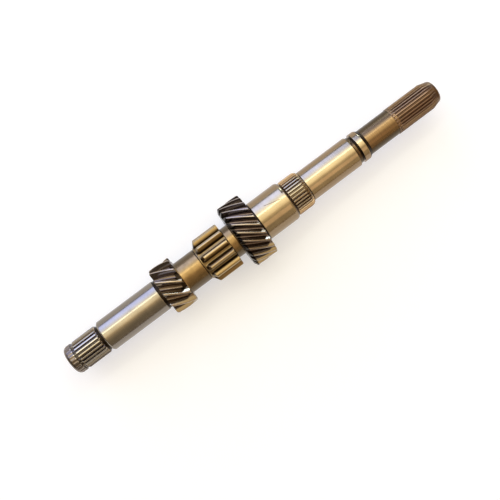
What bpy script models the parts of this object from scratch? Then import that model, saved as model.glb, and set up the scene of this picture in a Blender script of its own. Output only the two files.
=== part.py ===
"""Countershaft of a car gearbox: one forging with two helical gears, a spur gear and three splines.

The shaft lies along X with its axis through the origin, which is at half its length.
The rear end is at -X and the clutch end at +X. All sizes are in metres.
"""
import math
from dataclasses import dataclass

import bmesh
import bpy

# Lengths along the shaft, in order from the rear end
REAR_SPLINE_LENGTH = 0.0306
REAR_RELIEF_WIDTH = 0.0020
REAR_JOURNAL_LENGTH = 0.0553
GEAR_1_RELIEF_WIDTH = 0.0029
GEAR_1_WIDTH = 0.0190
FORGED_LENGTH = 0.0183
SPUR_WIDTH = 0.0279
NECK_LENGTH = 0.0068
GEAR_2_WIDTH = 0.0212
GEAR_2_RELIEF_WIDTH = 0.0010
SLEEVE_JOURNAL_LENGTH = 0.0306
HUB_RELIEF_WIDTH = 0.0011
HUB_SPLINE_LENGTH = 0.0154
LONG_JOURNAL_RELIEF_WIDTH = 0.0007
LONG_JOURNAL_LENGTH = 0.0478
CIRCLIP_GROOVE_WIDTH = 0.0026
COLLAR_UNDERCUT_WIDTH = 0.0012
COLLAR_LENGTH = 0.0077
THIN_NECK_LENGTH = 0.0284
CLUTCH_SPLINE_LENGTH = 0.0431

# Radii of the turned stretches
REAR_RELIEF_RADIUS = 0.0110
REAR_JOURNAL_RADIUS = 0.0134
GEAR_1_RELIEF_RADIUS = 0.0127
FORGED_RADIUS = 0.0141
NECK_RADIUS = 0.0139
GEAR_2_RELIEF_RADIUS = 0.0160
SLEEVE_JOURNAL_RADIUS = 0.0173
HUB_RELIEF_RADIUS = 0.0140
LONG_JOURNAL_RELIEF_RADIUS = 0.0128
LONG_JOURNAL_RADIUS = 0.01335
CIRCLIP_GROOVE_RADIUS = 0.0121
COLLAR_UNDERCUT_RADIUS = 0.0109
COLLAR_RADIUS = 0.01315
THIN_NECK_RADIUS = 0.01135

# Edges and fillets of the turned stretches
REAR_JOURNAL_CHAMFER = 0.0014
LONG_JOURNAL_CHAMFER = 0.0007
SLEEVE_ROUND_LENGTH = 0.0029
SLEEVE_END_RADIUS = 0.0147
COLLAR_SLOPE_LENGTH = 0.0033
FORGED_FILLET = 0.0008
SPUR_FILLET = 0.0004
GEAR_2_FILLET = 0.0010

# Rear spline, with a circlip groove near its rounded end
REAR_SPLINE_TEETH = 24
REAR_SPLINE_TIP_RADIUS = 0.0124
REAR_SPLINE_ROOT_RADIUS = 0.0112
REAR_END_RADIUS = 0.0097
REAR_END_ROUND_LENGTH = 0.0039
REAR_GROOVE_OFFSET = 0.0070
REAR_GROOVE_WIDTH = 0.0023
REAR_GROOVE_RADIUS = 0.0116
REAR_SPLINE_EDGE = 0.0014

# Hub spline, whose teeth slope down to the long journal
HUB_SPLINE_TEETH = 35
HUB_SPLINE_TIP_RADIUS = 0.01575
HUB_SPLINE_ROOT_RADIUS = 0.0142
HUB_SPLINE_SLOPE_LENGTH = 0.0038
HUB_SPLINE_SLOPE_DROP = 0.0015

# Clutch spline, whose gaps run out into the thin neck
CLUTCH_SPLINE_TEETH = 28
CLUTCH_SPLINE_TIP_RADIUS = 0.01165
CLUTCH_SPLINE_ROOT_RADIUS = 0.0106
CLUTCH_RUN_OUT_LENGTH = 0.0064
CLUTCH_NOSE_LENGTH = 0.0085
CLUTCH_NOSE_DROP = 0.0016
CLUTCH_END_ROUND_LENGTH = 0.0032
CLUTCH_END_RADIUS = 0.0081

# Helical gear 1, next to the rear journal
GEAR_1_TEETH = 11
GEAR_1_TIP_RADIUS = 0.0210
GEAR_1_ADDENDUM = 0.0028
GEAR_1_ROOT_RADIUS = 0.0151
GEAR_1_HELIX_ANGLE = math.radians(30.5)
GEAR_1_TOOTH_SHARE = 0.41
GEAR_1_FILLET = 0.0010
GEAR_1_EDGE = 0.0009

# Spur gear, with its tooth ends pointed towards gear 1
SPUR_TEETH = 12
SPUR_TIP_RADIUS = 0.0199
SPUR_ADDENDUM = 0.0031
SPUR_ROOT_RADIUS = 0.0147
SPUR_TOOTH_SHARE = 0.575
SPUR_ROOT_FILLET = 0.0008
SPUR_EDGE = 0.0006
SPUR_POINT_OFFSET = 0.0022
SPUR_POINT_LENGTH = 0.0032

# Helical gear 2, the largest diameter of the shaft, with a steep bevel towards the spur gear
GEAR_2_TEETH = 22
GEAR_2_TIP_RADIUS = 0.0279
GEAR_2_ADDENDUM = 0.0020
GEAR_2_ROOT_RADIUS = 0.0235
GEAR_2_HELIX_ANGLE = math.radians(34.5)
GEAR_2_TOOTH_SHARE = 0.45
GEAR_2_ROOT_FILLET = 0.0007
GEAR_2_EDGE = 0.0008
GEAR_2_BEVEL_LENGTH = 0.0020
GEAR_2_BEVEL_DROP = 0.0034

# Turns of the teeth about the axis, from the top of the shaft towards -Y
REAR_SPLINE_TURN = math.radians(1.7)
GEAR_1_TURN = math.radians(3.3)
SPUR_TURN = math.radians(-7.7)
GEAR_2_TURN = math.radians(7.4)
HUB_SPLINE_TURN = math.radians(6.6)
CLUTCH_SPLINE_TURN = math.radians(1.9)

# Values that all teeth of a kind share
GEAR_PRESSURE_ANGLE = math.radians(20)
SPLINE_ROOT_SHARE = 0.72
SPLINE_TIP_SHARE = 0.36

# Lathe centres in both ends
CENTRE_MOUTH_RADIUS = 0.0032
CENTRE_CONE_ANGLE = math.radians(60)
CENTRE_PILOT_RADIUS = 0.0012
CENTRE_PILOT_LENGTH = 0.0030

# Fineness of the solid
TURNED_STEPS = 32
CENTRE_STEPS = 12
FILLET_STEPS = 2
ROUND_STEPS = 2
POINT_STEPS = 3
GEAR_1_SLICES = 5
GEAR_2_SLICES = 5
OVERLAP = 0.0020
POINT_TIP_SHARE = 0.12
WIDEST_ROOT_HALF = 0.49
MERGE_DISTANCE = 0.000001

# Surface of the steel
STEEL_COLOUR = (0.56, 0.47, 0.35, 1.0)
STEEL_ROUGHNESS = 0.28

# Stations along X, each from the one before
TOTAL_LENGTH = (
    REAR_SPLINE_LENGTH + REAR_RELIEF_WIDTH + REAR_JOURNAL_LENGTH + GEAR_1_RELIEF_WIDTH + GEAR_1_WIDTH
    + FORGED_LENGTH + SPUR_WIDTH + NECK_LENGTH + GEAR_2_WIDTH + GEAR_2_RELIEF_WIDTH
    + SLEEVE_JOURNAL_LENGTH + HUB_RELIEF_WIDTH + HUB_SPLINE_LENGTH + LONG_JOURNAL_RELIEF_WIDTH
    + LONG_JOURNAL_LENGTH + CIRCLIP_GROOVE_WIDTH + COLLAR_UNDERCUT_WIDTH + COLLAR_LENGTH
    + THIN_NECK_LENGTH + CLUTCH_SPLINE_LENGTH
)
REAR_END = -TOTAL_LENGTH / 2
REAR_SPLINE_END = REAR_END + REAR_SPLINE_LENGTH
REAR_JOURNAL_START = REAR_SPLINE_END + REAR_RELIEF_WIDTH
REAR_JOURNAL_END = REAR_JOURNAL_START + REAR_JOURNAL_LENGTH
GEAR_1_START = REAR_JOURNAL_END + GEAR_1_RELIEF_WIDTH
GEAR_1_END = GEAR_1_START + GEAR_1_WIDTH
SPUR_START = GEAR_1_END + FORGED_LENGTH
SPUR_END = SPUR_START + SPUR_WIDTH
GEAR_2_START = SPUR_END + NECK_LENGTH
GEAR_2_END = GEAR_2_START + GEAR_2_WIDTH
SLEEVE_JOURNAL_START = GEAR_2_END + GEAR_2_RELIEF_WIDTH
SLEEVE_JOURNAL_END = SLEEVE_JOURNAL_START + SLEEVE_JOURNAL_LENGTH
HUB_SPLINE_START = SLEEVE_JOURNAL_END + HUB_RELIEF_WIDTH
HUB_SPLINE_END = HUB_SPLINE_START + HUB_SPLINE_LENGTH
LONG_JOURNAL_START = HUB_SPLINE_END + LONG_JOURNAL_RELIEF_WIDTH
LONG_JOURNAL_END = LONG_JOURNAL_START + LONG_JOURNAL_LENGTH
CIRCLIP_GROOVE_END = LONG_JOURNAL_END + CIRCLIP_GROOVE_WIDTH
COLLAR_START = CIRCLIP_GROOVE_END + COLLAR_UNDERCUT_WIDTH
COLLAR_END = COLLAR_START + COLLAR_LENGTH
CLUTCH_SPLINE_START = COLLAR_END + THIN_NECK_LENGTH
CLUTCH_END = CLUTCH_SPLINE_START + CLUTCH_SPLINE_LENGTH


@dataclass
class Gear:
    """Sizes of one gear, with its teeth spread evenly about the axis."""

    teeth: int
    tip_radius: float
    addendum: float
    root_radius: float
    tooth_share: float
    fillet: float
    turn: float
    helix_angle: float = 0.0

    @property
    def pitch_radius(self):
        return self.tip_radius - self.addendum

    def pitch(self):
        return 2 * math.pi / self.teeth

    def base_radius(self):
        transverse = math.atan(math.tan(GEAR_PRESSURE_ANGLE) / math.cos(self.helix_angle))
        return self.pitch_radius * math.cos(transverse)

    def involute(self, radius):
        """Involute angle at a radius, zero on and under the base circle."""
        angle = math.acos(min(1.0, self.base_radius() / radius))
        return math.tan(angle) - angle

    def half_tooth(self, radius):
        """Half of the angle that a tooth fills at a radius."""
        at_pitch = self.tooth_share * self.pitch() / 2
        return at_pitch + self.involute(self.pitch_radius) - self.involute(radius)

    def twist(self, distance):
        """Turn of the section over a distance along the axis."""
        return distance * math.tan(self.helix_angle) / self.pitch_radius


def remove_objects():
    for item in list(bpy.data.objects):
        bpy.data.objects.remove(item, do_unlink=True)


def new_collection(name):
    collection = bpy.data.collections.new(name)
    bpy.context.scene.collection.children.link(collection)
    return collection


def steel_material():
    material = bpy.data.materials.new("case_hardened_steel")
    material.use_nodes = True
    surface = material.node_tree.nodes["Principled BSDF"]
    surface.inputs["Base Color"].default_value = STEEL_COLOUR
    surface.inputs["Metallic"].default_value = 1.0
    surface.inputs["Roughness"].default_value = STEEL_ROUGHNESS
    return material


def add_object(name, mesh, material, collection):
    """An object whose mesh has the shaft's axis along local Z, laid along X."""
    mesh.materials.append(material)
    item = bpy.data.objects.new(name, mesh)
    item.rotation_euler = (0, math.radians(90), 0)
    collection.objects.link(item)
    return item


def hide_guide(item):
    item.hide_render = True
    item.display_type = "WIRE"


def turned_object(name, profile, steps, material, collection):
    """A solid of revolution from (place, radius) points that run along the axis from -X to +X."""
    outline = bmesh.new()
    points = [outline.verts.new((radius, 0, place)) for place, radius in reversed(profile)]
    for start, end in zip(points, points[1:]):
        outline.edges.new((start, end))
    mesh = bpy.data.meshes.new(name)
    outline.to_mesh(mesh)
    outline.free()
    item = add_object(name, mesh, material, collection)
    screw = item.modifiers.new("Turned shape", "SCREW")
    screw.axis = "Z"
    screw.steps = steps
    screw.render_steps = steps
    screw.use_merge_vertices = True
    screw.merge_threshold = MERGE_DISTANCE
    screw.use_smooth_shade = True
    return item


def lofted_object(name, sections, material, collection):
    """A closed solid through sections, each a list of the same number of points about the axis."""
    solid = bmesh.new()
    rings = [[solid.verts.new(point) for point in section] for section in sections]
    count = len(rings[0])
    for near, far in zip(rings, rings[1:]):
        for i in range(count):
            following = (i + 1) % count
            solid.faces.new((near[i], near[following], far[following], far[i]))
    solid.faces.new(list(reversed(rings[0])))
    solid.faces.new(rings[-1])
    mesh = bpy.data.meshes.new(name)
    solid.to_mesh(mesh)
    solid.free()
    return add_object(name, mesh, material, collection)


def ring_point(place, radius, turn):
    """A point at a turn about the axis, measured from the top towards -Y."""
    angle = math.pi + turn
    return (radius * math.cos(angle), radius * math.sin(angle), place)


def gear_section(gear, place, tip_radius, thickness, turn):
    """One cross-section of a gear, with its teeth cut down to a tip radius and a share of their width."""
    form_radius = gear.root_radius + gear.fillet
    tip_radius = max(tip_radius, form_radius + gear.fillet * POINT_TIP_SHARE)
    form_half = gear.half_tooth(form_radius)
    root_half = min(form_half + gear.fillet / gear.root_radius, gear.pitch() * WIDEST_ROOT_HALF)
    middle_radius = (form_radius + tip_radius) / 2
    side = [
        (gear.root_radius, root_half),
        (form_radius, form_half),
        (middle_radius, gear.half_tooth(middle_radius)),
        (tip_radius, gear.half_tooth(tip_radius)),
    ]
    points = []
    for tooth in range(gear.teeth):
        centre = gear.turn + turn + tooth * gear.pitch()
        points += [ring_point(place, radius, centre - half * thickness) for radius, half in side]
        points += [ring_point(place, radius, centre + half * thickness) for radius, half in reversed(side)]
    return points


def helical_gear(name, gear, start, width, bevel, edge, slices, material, collection):
    """A helical gear lofted through turned sections, with a (length, drop) bevel and a far edge."""
    bevel_length, bevel_drop = bevel
    places = [(0.0, gear.tip_radius - bevel_drop), (bevel_length, gear.tip_radius)]
    inner = width - bevel_length - edge
    places += [(bevel_length + inner * i / slices, gear.tip_radius) for i in range(1, slices + 1)]
    places.append((width, gear.tip_radius - edge))
    sections = [gear_section(gear, start + place, tip, 1.0, gear.twist(place)) for place, tip in places]
    return lofted_object(name, sections, material, collection)


def spur_gear(material, collection):
    """The spur gear: a plain root ring, pointed tooth ends, straight teeth and a small far chamfer."""
    gear = Gear(SPUR_TEETH, SPUR_TIP_RADIUS, SPUR_ADDENDUM, SPUR_ROOT_RADIUS, SPUR_TOOTH_SHARE,
                SPUR_ROOT_FILLET, SPUR_TURN)
    point_start = SPUR_START + SPUR_POINT_OFFSET
    sections = []
    for i in range(POINT_STEPS + 1):
        share = i / POINT_STEPS
        tip = SPUR_ROOT_RADIUS + (SPUR_TIP_RADIUS - SPUR_ROOT_RADIUS) * share
        thickness = POINT_TIP_SHARE + (1 - POINT_TIP_SHARE) * math.sin(share * math.pi / 2)
        sections.append(gear_section(gear, point_start + SPUR_POINT_LENGTH * share, tip, thickness, 0.0))
    sections.append(gear_section(gear, SPUR_END - SPUR_EDGE, SPUR_TIP_RADIUS, 1.0, 0.0))
    sections.append(gear_section(gear, SPUR_END, SPUR_TIP_RADIUS - SPUR_EDGE, 1.0, 0.0))
    return lofted_object("spur_gear_form", sections, material, collection)


def spline_section(teeth, place, tip_radius, root_radius, turn):
    """One cross-section of a spline with straight-sided teeth."""
    pitch = 2 * math.pi / teeth
    root_half = SPLINE_ROOT_SHARE * pitch / 2
    tip_half = SPLINE_TIP_SHARE * pitch / 2
    side = [(root_radius, root_half), (tip_radius, tip_half)]
    points = []
    for tooth in range(teeth):
        centre = turn + tooth * pitch
        points += [ring_point(place, radius, centre - half) for radius, half in side]
        points += [ring_point(place, radius, centre + half) for radius, half in reversed(side)]
    return points


def rounded_end(length, end_radius, full_radius):
    """Offsets from an end face with their radii, along a quarter of an ellipse up to the full radius."""
    points = []
    for i in range(ROUND_STEPS + 1):
        angle = math.pi / 2 * i / ROUND_STEPS
        offset = length * (1 - math.cos(angle))
        points.append((offset, end_radius + (full_radius - end_radius) * math.sin(angle)))
    return points


def rear_spline(material, collection):
    """The rear spline, whose teeth go on past the circlip groove to the rounded end."""
    cuts = [
        (REAR_END + offset, radius)
        for offset, radius in rounded_end(REAR_END_ROUND_LENGTH, REAR_END_RADIUS, REAR_SPLINE_TIP_RADIUS)
    ]
    groove_start = REAR_END + REAR_GROOVE_OFFSET
    groove_end = groove_start + REAR_GROOVE_WIDTH
    cuts += [(groove_start, REAR_SPLINE_TIP_RADIUS), (groove_start, REAR_GROOVE_RADIUS)]
    cuts += [(groove_end, REAR_GROOVE_RADIUS), (groove_end, REAR_SPLINE_TIP_RADIUS)]
    cuts += [(REAR_SPLINE_END - REAR_SPLINE_EDGE, REAR_SPLINE_TIP_RADIUS)]
    cuts += [(REAR_SPLINE_END, REAR_SPLINE_TIP_RADIUS - REAR_SPLINE_EDGE)]
    sections = [
        spline_section(REAR_SPLINE_TEETH, place, radius, min(radius, REAR_SPLINE_ROOT_RADIUS),
                       REAR_SPLINE_TURN)
        for place, radius in cuts
    ]
    return lofted_object("rear_spline_form", sections, material, collection)


def hub_spline(material, collection):
    """The hub spline, with full teeth at the relief and sloped tooth ends at the long journal."""
    slope_start = HUB_SPLINE_END - HUB_SPLINE_SLOPE_LENGTH
    cuts = [(HUB_SPLINE_START, HUB_SPLINE_TIP_RADIUS)]
    for i in range(ROUND_STEPS + 1):
        share = i / ROUND_STEPS
        cuts.append((slope_start + HUB_SPLINE_SLOPE_LENGTH * share,
                     HUB_SPLINE_TIP_RADIUS - HUB_SPLINE_SLOPE_DROP * share ** 2))
    sections = [
        spline_section(HUB_SPLINE_TEETH, place, radius, min(radius, HUB_SPLINE_ROOT_RADIUS),
                       HUB_SPLINE_TURN)
        for place, radius in cuts
    ]
    return lofted_object("hub_spline_form", sections, material, collection)


def clutch_spline(material, collection):
    """The clutch spline, whose gaps rise out of the neck side, with a cone and a rounded end."""
    tip = CLUTCH_SPLINE_TIP_RADIUS
    root = CLUTCH_SPLINE_ROOT_RADIUS
    cuts = []
    for i in range(ROUND_STEPS + 1):
        share = i / ROUND_STEPS
        place = CLUTCH_SPLINE_START + CLUTCH_RUN_OUT_LENGTH * share
        cuts.append((place, tip, tip - (tip - root) * math.sin(share * math.pi / 2)))
    nose_radius = tip - CLUTCH_NOSE_DROP
    cuts.append((CLUTCH_END - CLUTCH_NOSE_LENGTH, tip, root))
    rounding = rounded_end(CLUTCH_END_ROUND_LENGTH, CLUTCH_END_RADIUS, nose_radius)
    cuts += [(CLUTCH_END - offset, radius, min(radius, root)) for offset, radius in reversed(rounding)]
    sections = [
        spline_section(CLUTCH_SPLINE_TEETH, place, tip_radius, root_radius, CLUTCH_SPLINE_TURN)
        for place, tip_radius, root_radius in cuts
    ]
    return lofted_object("clutch_spline_form", sections, material, collection)


def fillet(face, radius, size, direction):
    """A concave fillet from a gear's face down to a radius, listed from the face outwards."""
    points = []
    for i in range(FILLET_STEPS + 1):
        angle = math.pi / 2 * i / FILLET_STEPS
        place = face + direction * size * (1 - math.cos(angle))
        points.append((place, radius + size * (1 - math.sin(angle))))
    return points


def shaft_profile():
    """The turned stretches from the rear spline to the clutch spline, as (place, radius) points."""
    gear_1_middle = (GEAR_1_START + GEAR_1_END) / 2
    spur_middle = (SPUR_START + SPUR_END) / 2
    gear_2_middle = (GEAR_2_START + GEAR_2_END) / 2
    hub_middle = (HUB_SPLINE_START + HUB_SPLINE_END) / 2
    points = [(REAR_SPLINE_END - OVERLAP, 0.0), (REAR_SPLINE_END - OVERLAP, REAR_RELIEF_RADIUS)]
    points += [(REAR_JOURNAL_START, REAR_RELIEF_RADIUS)]
    points += [(REAR_JOURNAL_START, REAR_JOURNAL_RADIUS - REAR_JOURNAL_CHAMFER)]
    points += [(REAR_JOURNAL_START + REAR_JOURNAL_CHAMFER, REAR_JOURNAL_RADIUS)]
    points += [(REAR_JOURNAL_END, REAR_JOURNAL_RADIUS), (REAR_JOURNAL_END, GEAR_1_RELIEF_RADIUS)]
    points += [(gear_1_middle, GEAR_1_RELIEF_RADIUS), (gear_1_middle, FORGED_RADIUS + FORGED_FILLET)]
    points += fillet(GEAR_1_END, FORGED_RADIUS, FORGED_FILLET, 1)
    points += reversed(fillet(SPUR_START, FORGED_RADIUS, SPUR_FILLET, -1))
    points += [(spur_middle, FORGED_RADIUS + SPUR_FILLET), (spur_middle, NECK_RADIUS + SPUR_FILLET)]
    points += fillet(SPUR_END, NECK_RADIUS, SPUR_FILLET, 1)
    points += reversed(fillet(GEAR_2_START, NECK_RADIUS, GEAR_2_FILLET, -1))
    points += [(gear_2_middle, NECK_RADIUS + GEAR_2_FILLET), (gear_2_middle, GEAR_2_RELIEF_RADIUS)]
    points += [(SLEEVE_JOURNAL_START, GEAR_2_RELIEF_RADIUS), (SLEEVE_JOURNAL_START, SLEEVE_JOURNAL_RADIUS)]
    points += [
        (SLEEVE_JOURNAL_END - offset, radius)
        for offset, radius in reversed(rounded_end(SLEEVE_ROUND_LENGTH, SLEEVE_END_RADIUS, SLEEVE_JOURNAL_RADIUS))
    ]
    points += [(SLEEVE_JOURNAL_END, HUB_RELIEF_RADIUS), (hub_middle, HUB_RELIEF_RADIUS)]
    points += [(hub_middle, LONG_JOURNAL_RELIEF_RADIUS), (LONG_JOURNAL_START, LONG_JOURNAL_RELIEF_RADIUS)]
    points += [(LONG_JOURNAL_START, LONG_JOURNAL_RADIUS)]
    points += [(LONG_JOURNAL_END - LONG_JOURNAL_CHAMFER, LONG_JOURNAL_RADIUS)]
    points += [(LONG_JOURNAL_END, LONG_JOURNAL_RADIUS - LONG_JOURNAL_CHAMFER)]
    points += [(LONG_JOURNAL_END, CIRCLIP_GROOVE_RADIUS), (CIRCLIP_GROOVE_END, CIRCLIP_GROOVE_RADIUS)]
    points += [(CIRCLIP_GROOVE_END, COLLAR_UNDERCUT_RADIUS), (COLLAR_START, COLLAR_UNDERCUT_RADIUS)]
    points += [(COLLAR_START, COLLAR_RADIUS), (COLLAR_END - COLLAR_SLOPE_LENGTH, COLLAR_RADIUS)]
    points += [(COLLAR_END, THIN_NECK_RADIUS), (CLUTCH_SPLINE_START + OVERLAP, THIN_NECK_RADIUS)]
    points += [(CLUTCH_SPLINE_START + OVERLAP, 0.0)]
    return points


def centre_profile(face, direction):
    """A lathe centre in an end face: a cone and a pilot hole, listed from -X to +X."""
    cone_length = (CENTRE_MOUTH_RADIUS - CENTRE_PILOT_RADIUS) / math.tan(CENTRE_CONE_ANGLE / 2)
    slope = (CENTRE_MOUTH_RADIUS - CENTRE_PILOT_RADIUS) / cone_length
    points = [(face - direction * OVERLAP, 0.0)]
    points += [(face - direction * OVERLAP, CENTRE_MOUTH_RADIUS + slope * OVERLAP)]
    points += [(face + direction * cone_length, CENTRE_PILOT_RADIUS)]
    points += [(face + direction * (cone_length + CENTRE_PILOT_LENGTH), CENTRE_PILOT_RADIUS)]
    points += [(face + direction * (cone_length + CENTRE_PILOT_LENGTH), 0.0)]
    return points if direction > 0 else list(reversed(points))


def combine(shaft, form, operation):
    boolean = shaft.modifiers.new(form.name, "BOOLEAN")
    boolean.operation = operation
    boolean.object = form
    hide_guide(form)


def main():
    remove_objects()
    parts = new_collection("countershaft")
    cutters = new_collection("cutters")
    steel = steel_material()
    shaft = turned_object("countershaft", shaft_profile(), TURNED_STEPS, steel, parts)
    gear_1 = Gear(GEAR_1_TEETH, GEAR_1_TIP_RADIUS, GEAR_1_ADDENDUM, GEAR_1_ROOT_RADIUS,
                  GEAR_1_TOOTH_SHARE, GEAR_1_FILLET, GEAR_1_TURN, GEAR_1_HELIX_ANGLE)
    gear_2 = Gear(GEAR_2_TEETH, GEAR_2_TIP_RADIUS, GEAR_2_ADDENDUM, GEAR_2_ROOT_RADIUS,
                  GEAR_2_TOOTH_SHARE, GEAR_2_ROOT_FILLET, GEAR_2_TURN, GEAR_2_HELIX_ANGLE)
    forms = [
        rear_spline(steel, cutters),
        helical_gear("gear_1_form", gear_1, GEAR_1_START, GEAR_1_WIDTH, (GEAR_1_EDGE, GEAR_1_EDGE),
                     GEAR_1_EDGE, GEAR_1_SLICES, steel, cutters),
        spur_gear(steel, cutters),
        helical_gear("gear_2_form", gear_2, GEAR_2_START, GEAR_2_WIDTH,
                     (GEAR_2_BEVEL_LENGTH, GEAR_2_BEVEL_DROP), GEAR_2_EDGE, GEAR_2_SLICES, steel, cutters),
        hub_spline(steel, cutters),
        clutch_spline(steel, cutters),
    ]
    for form in forms:
        combine(shaft, form, "UNION")
    for name, face, direction in (("rear_centre", REAR_END, 1), ("clutch_centre", CLUTCH_END, -1)):
        centre = turned_object(name, centre_profile(face, direction), CENTRE_STEPS, steel, cutters)
        combine(shaft, centre, "DIFFERENCE")


main()
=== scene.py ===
# %% [markdown]
# # The countershaft of a car gearbox
# One steel forging carries two helical gears, a spur gear, three splines and ground journals. The
# lesson loads its solids as a fixed frame, models each stretch again with smooth surfaces, and gives
# every stretch the finish that its making leaves: ground, forged, hobbed or oiled, with painted shade
# in grooves and gaps and down the sides.

# %% Load the imported part
import math

import bmesh
import bpy
from mathutils import Matrix, Vector


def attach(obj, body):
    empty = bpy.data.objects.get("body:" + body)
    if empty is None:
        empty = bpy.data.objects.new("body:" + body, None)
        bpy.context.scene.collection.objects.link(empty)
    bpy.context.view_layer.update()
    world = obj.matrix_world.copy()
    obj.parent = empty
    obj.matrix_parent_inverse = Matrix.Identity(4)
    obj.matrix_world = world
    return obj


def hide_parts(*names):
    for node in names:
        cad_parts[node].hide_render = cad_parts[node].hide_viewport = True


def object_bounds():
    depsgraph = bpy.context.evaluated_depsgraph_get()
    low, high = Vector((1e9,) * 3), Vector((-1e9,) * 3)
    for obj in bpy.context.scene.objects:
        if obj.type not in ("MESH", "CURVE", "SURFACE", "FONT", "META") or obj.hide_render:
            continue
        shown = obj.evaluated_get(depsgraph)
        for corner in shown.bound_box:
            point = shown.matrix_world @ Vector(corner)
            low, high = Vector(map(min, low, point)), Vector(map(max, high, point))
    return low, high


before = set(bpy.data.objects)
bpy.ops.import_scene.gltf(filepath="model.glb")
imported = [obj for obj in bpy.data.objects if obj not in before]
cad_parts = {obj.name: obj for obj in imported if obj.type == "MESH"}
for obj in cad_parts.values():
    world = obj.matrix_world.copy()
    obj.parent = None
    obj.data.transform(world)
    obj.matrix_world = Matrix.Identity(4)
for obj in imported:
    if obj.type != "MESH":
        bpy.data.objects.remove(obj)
cad_low, cad_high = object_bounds()
print("solids span", [round(value, 4) for value in (cad_high - cad_low)])

# %% [markdown]
# ## The camera
# The photograph looks straight down on the shaft, which lies slanted across the frame. A camera is
# easiest to place by two directions: where it looks, and what is to the right in the picture.

# %% Camera
CAMERA_PLACE = Vector((-0.0389, -0.0146, 0.5999))
CAMERA_AIM = Vector((-0.01539, -0.01397, 0.0))
SHAFT_SLANT = math.radians(36.855)
LENS = 53.83
SENSOR = 36


def facing(away, side):
    """A rotation that looks against one direction, with its X axis towards another."""
    side = (side - side.dot(away) * away).normalized()
    return Matrix((side, away.cross(side), away)).transposed().to_4x4()


def make_camera():
    forward = (CAMERA_AIM - CAMERA_PLACE).normalized()
    right = Vector((math.cos(SHAFT_SLANT), -math.sin(SHAFT_SLANT), 0))
    camera = bpy.data.objects.new("camera", bpy.data.cameras.new("camera"))
    camera.data.lens = LENS
    camera.data.sensor_width = SENSOR
    camera.matrix_world = facing(-forward, right)
    camera.location = CAMERA_PLACE
    bpy.context.scene.collection.objects.link(camera)
    bpy.context.scene.camera = camera
    return camera


camera = make_camera()
print("camera at", tuple(round(value, 3) for value in camera.location))

# %% [markdown]
# ## Stations along the shaft
# A turner's drawing gives the length of each stretch. Adding them up gives every station, so that
# neighbouring stretches meet. The axis lies along X, with half the length on each side of zero.

# %% Stations
LENGTHS = {
    "rear_spline": 0.0306,
    "rear_relief": 0.0020,
    "rear_journal": 0.0553,
    "gear_1_relief": 0.0029,
    "gear_1": 0.0190,
    "forged": 0.0183,
    "spur": 0.0279,
    "neck": 0.0068,
    "gear_2": 0.0212,
    "gear_2_relief": 0.0010,
    "sleeve_journal": 0.0306,
    "hub_relief": 0.0011,
    "hub_spline": 0.0154,
    "long_relief": 0.0007,
    "long_journal": 0.0478,
    "circlip_groove": 0.0026,
    "undercut": 0.0012,
    "collar": 0.0077,
    "thin_neck": 0.0284,
    "clutch_spline": 0.0431,
}
start = {}
end = {}
place = -sum(LENGTHS.values()) / 2
for stretch, length in LENGTHS.items():
    start[stretch] = place
    place += length
    end[stretch] = place
print("shaft runs from", round(start["rear_spline"], 4), "to", round(end["clutch_spline"], 4))

# %% [markdown]
# ## Turning helpers
# A turned shape is half an outline swept round the axis. The outline is a wire of corner points, and
# a bevel rounds its corners before the spin, so that each edge catches a fine line of light. Smooth
# shading would bend a long straight face towards its rounded ends, so two more points guard it.

# %% Turned shapes
AXIS = (1, 0, 0)
CENTRE = (0, 0, 0)
TURNED_STEPS = 144
LONG_STRAIGHT = 0.0050
GUARD = 0.0003
JOIN = 0.000001
SHARP_ANGLE = math.radians(32)
ARC_SEGMENTS = 3


def finish_mesh(shape, name, sharp_angle=SHARP_ANGLE):
    """Turn a bmesh into a smooth object whose faces point outwards and whose edges stay sharp."""
    bmesh.ops.recalc_face_normals(shape, faces=shape.faces)
    for face in shape.faces:
        face.smooth = True
    mesh = bpy.data.meshes.new(name)
    shape.to_mesh(mesh)
    shape.free()
    mesh.set_sharp_from_angle(angle=sharp_angle)
    piece = bpy.data.objects.new(name, mesh)
    bpy.context.scene.collection.objects.link(piece)
    return piece


def guarded(corners):
    """The corners, with a point just inside both ends of each long straight."""
    result = []
    for near, far in zip(corners, corners[1:]):
        result.append(near)
        length = math.dist(near[:2], far[:2])
        if length > LONG_STRAIGHT:
            for share in ((near[2] + GUARD) / length, 1 - (far[2] + GUARD) / length):
                place, radius = (a + (b - a) * share for a, b in zip(near[:2], far[:2]))
                result.append((place, radius, 0))
    return result + [corners[-1]]


def round_off(shape, points, rounding):
    """Put a small arc in place of each of these points of an outline."""
    bmesh.ops.bevel(shape, geom=points, offset=rounding, offset_type="OFFSET", segments=ARC_SEGMENTS,
                    profile=0.5, affect="VERTICES", material=-1)


def spin_round(shape, steps, **how):
    """Spin an outline once round the axis."""
    bmesh.ops.spin(shape, geom=shape.verts[:] + shape.edges[:], cent=CENTRE, axis=AXIS,
                   dvec=(0, 0, 0), angle=2 * math.pi, steps=steps, **how)


def turned_shape(corners):
    """Spin an outline of (place, radius, rounding) corners into a closed body."""
    shape = bmesh.new()
    corners = guarded(corners)
    points = [shape.verts.new((place, 0, radius)) for place, radius, _ in corners]
    for near, far in zip(points, points[1:]):
        shape.edges.new((near, far))
    for rounding in sorted({corner[2] for corner in corners if corner[2] > 0}):
        rounded = [point for point, corner in zip(points, corners) if corner[2] == rounding]
        round_off(shape, rounded, rounding)
    spin_round(shape, TURNED_STEPS, use_merge=True)
    bmesh.ops.remove_doubles(shape, verts=shape.verts, dist=JOIN)
    return shape


print("an outline is spun in", TURNED_STEPS, "steps")

# %% [markdown]
# ## Toothed rings
# All gears and splines are made the same way. Half a tooth is drawn as a few points, mirrored, and
# repeated round the axis. The ring is swept from station to station, turning as it goes for a helical
# gear. Then every ring of points is limited to the blank that was turned before the teeth were cut.

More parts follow.
